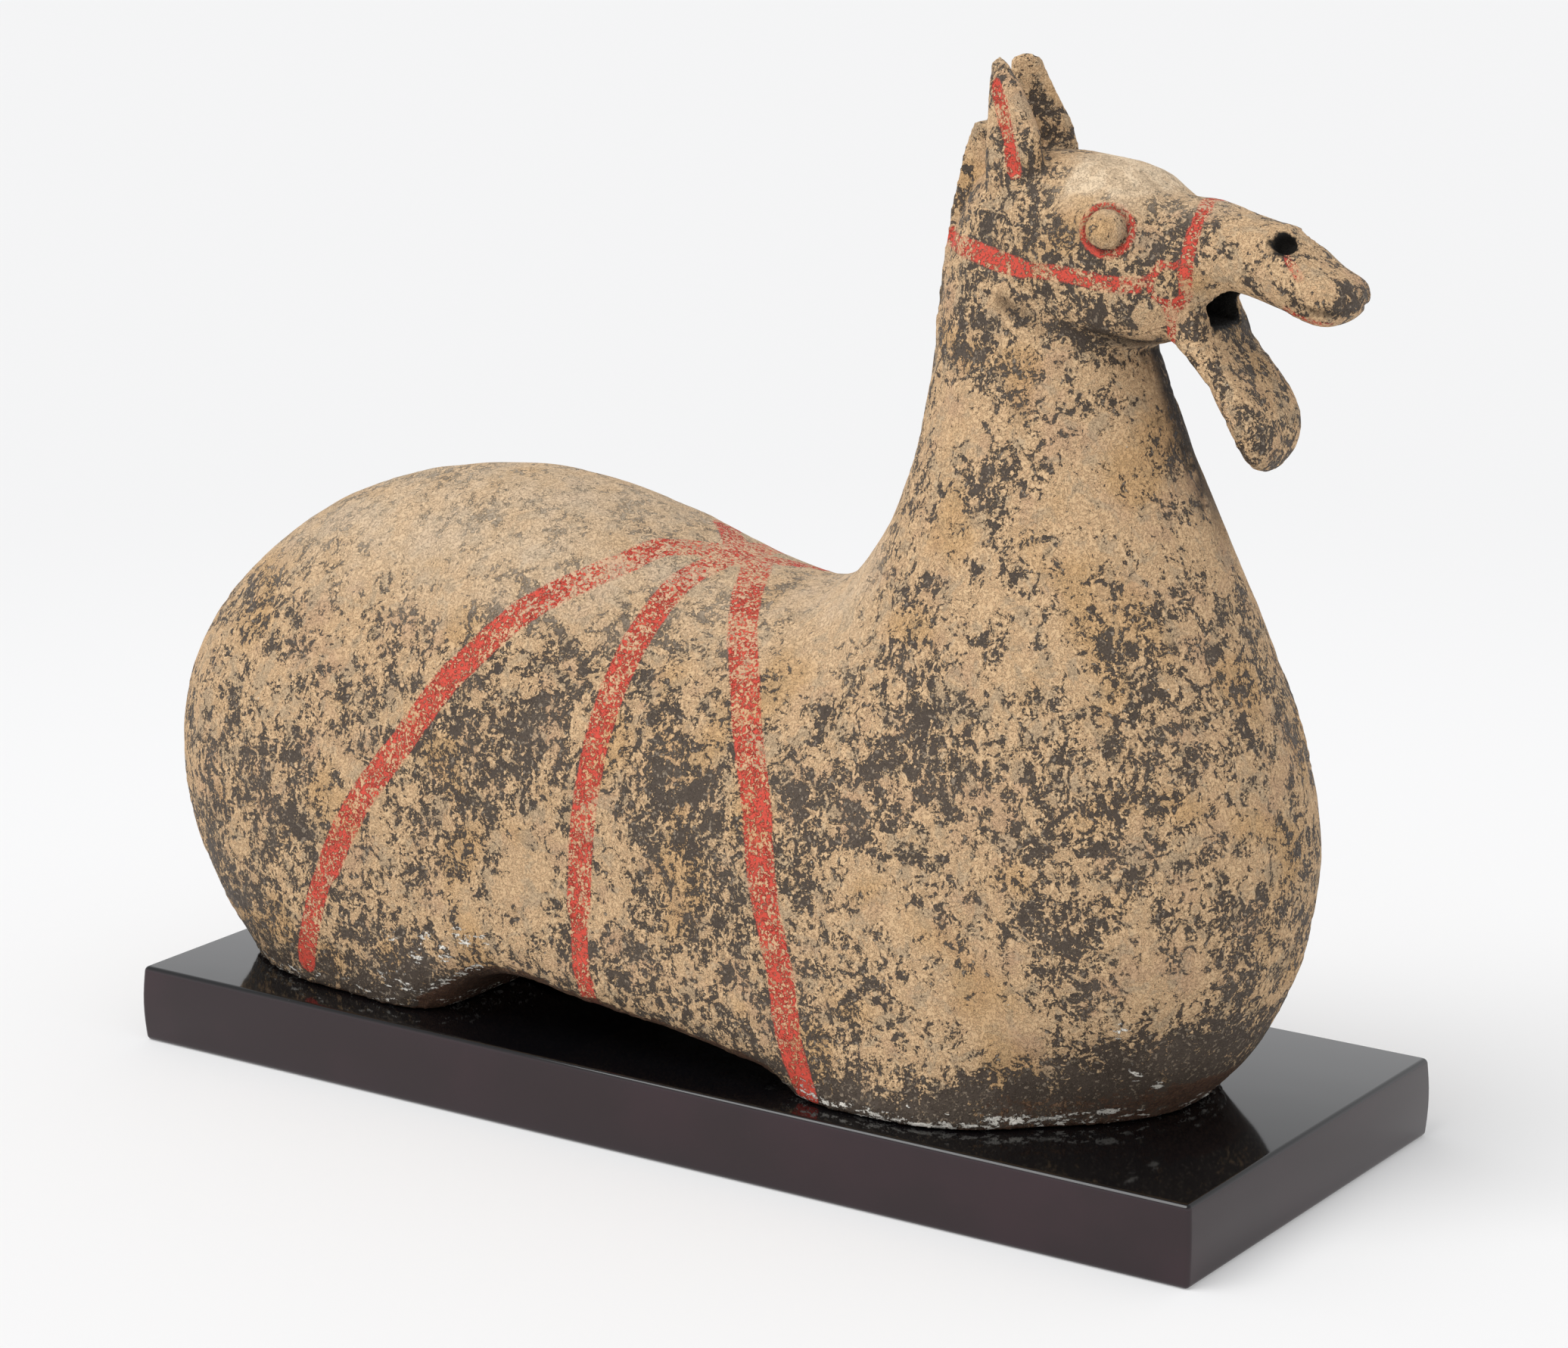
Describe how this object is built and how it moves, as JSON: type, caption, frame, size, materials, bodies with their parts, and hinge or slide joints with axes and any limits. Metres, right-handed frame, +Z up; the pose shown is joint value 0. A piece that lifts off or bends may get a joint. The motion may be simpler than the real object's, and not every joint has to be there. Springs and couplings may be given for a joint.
{
  "type": "ceramic horse statue",
  "caption": "Legless painted grey-pottery horse with raised head and open mouth, soil-crusted, resting by its own weight on a rectangular black lacquered plinth.",
  "frame": {"origin": "centre of the plinth's flat underside", "axes": "+X the way the horse faces, along the plinth; +Y the horse's left side; +Z up"},
  "size_m": [0.732, 0.266, 0.5788],
  "materials": {
    "soiled_grey_pottery": "matt unglazed pottery under soil crust, worn red stripes",
    "black_lacquer": "black high-gloss lacquer"
  },
  "bodies": {
    "root": {"horse": "soiled_grey_pottery", "plinth": "black_lacquer"}
  },
  "joints": []
}
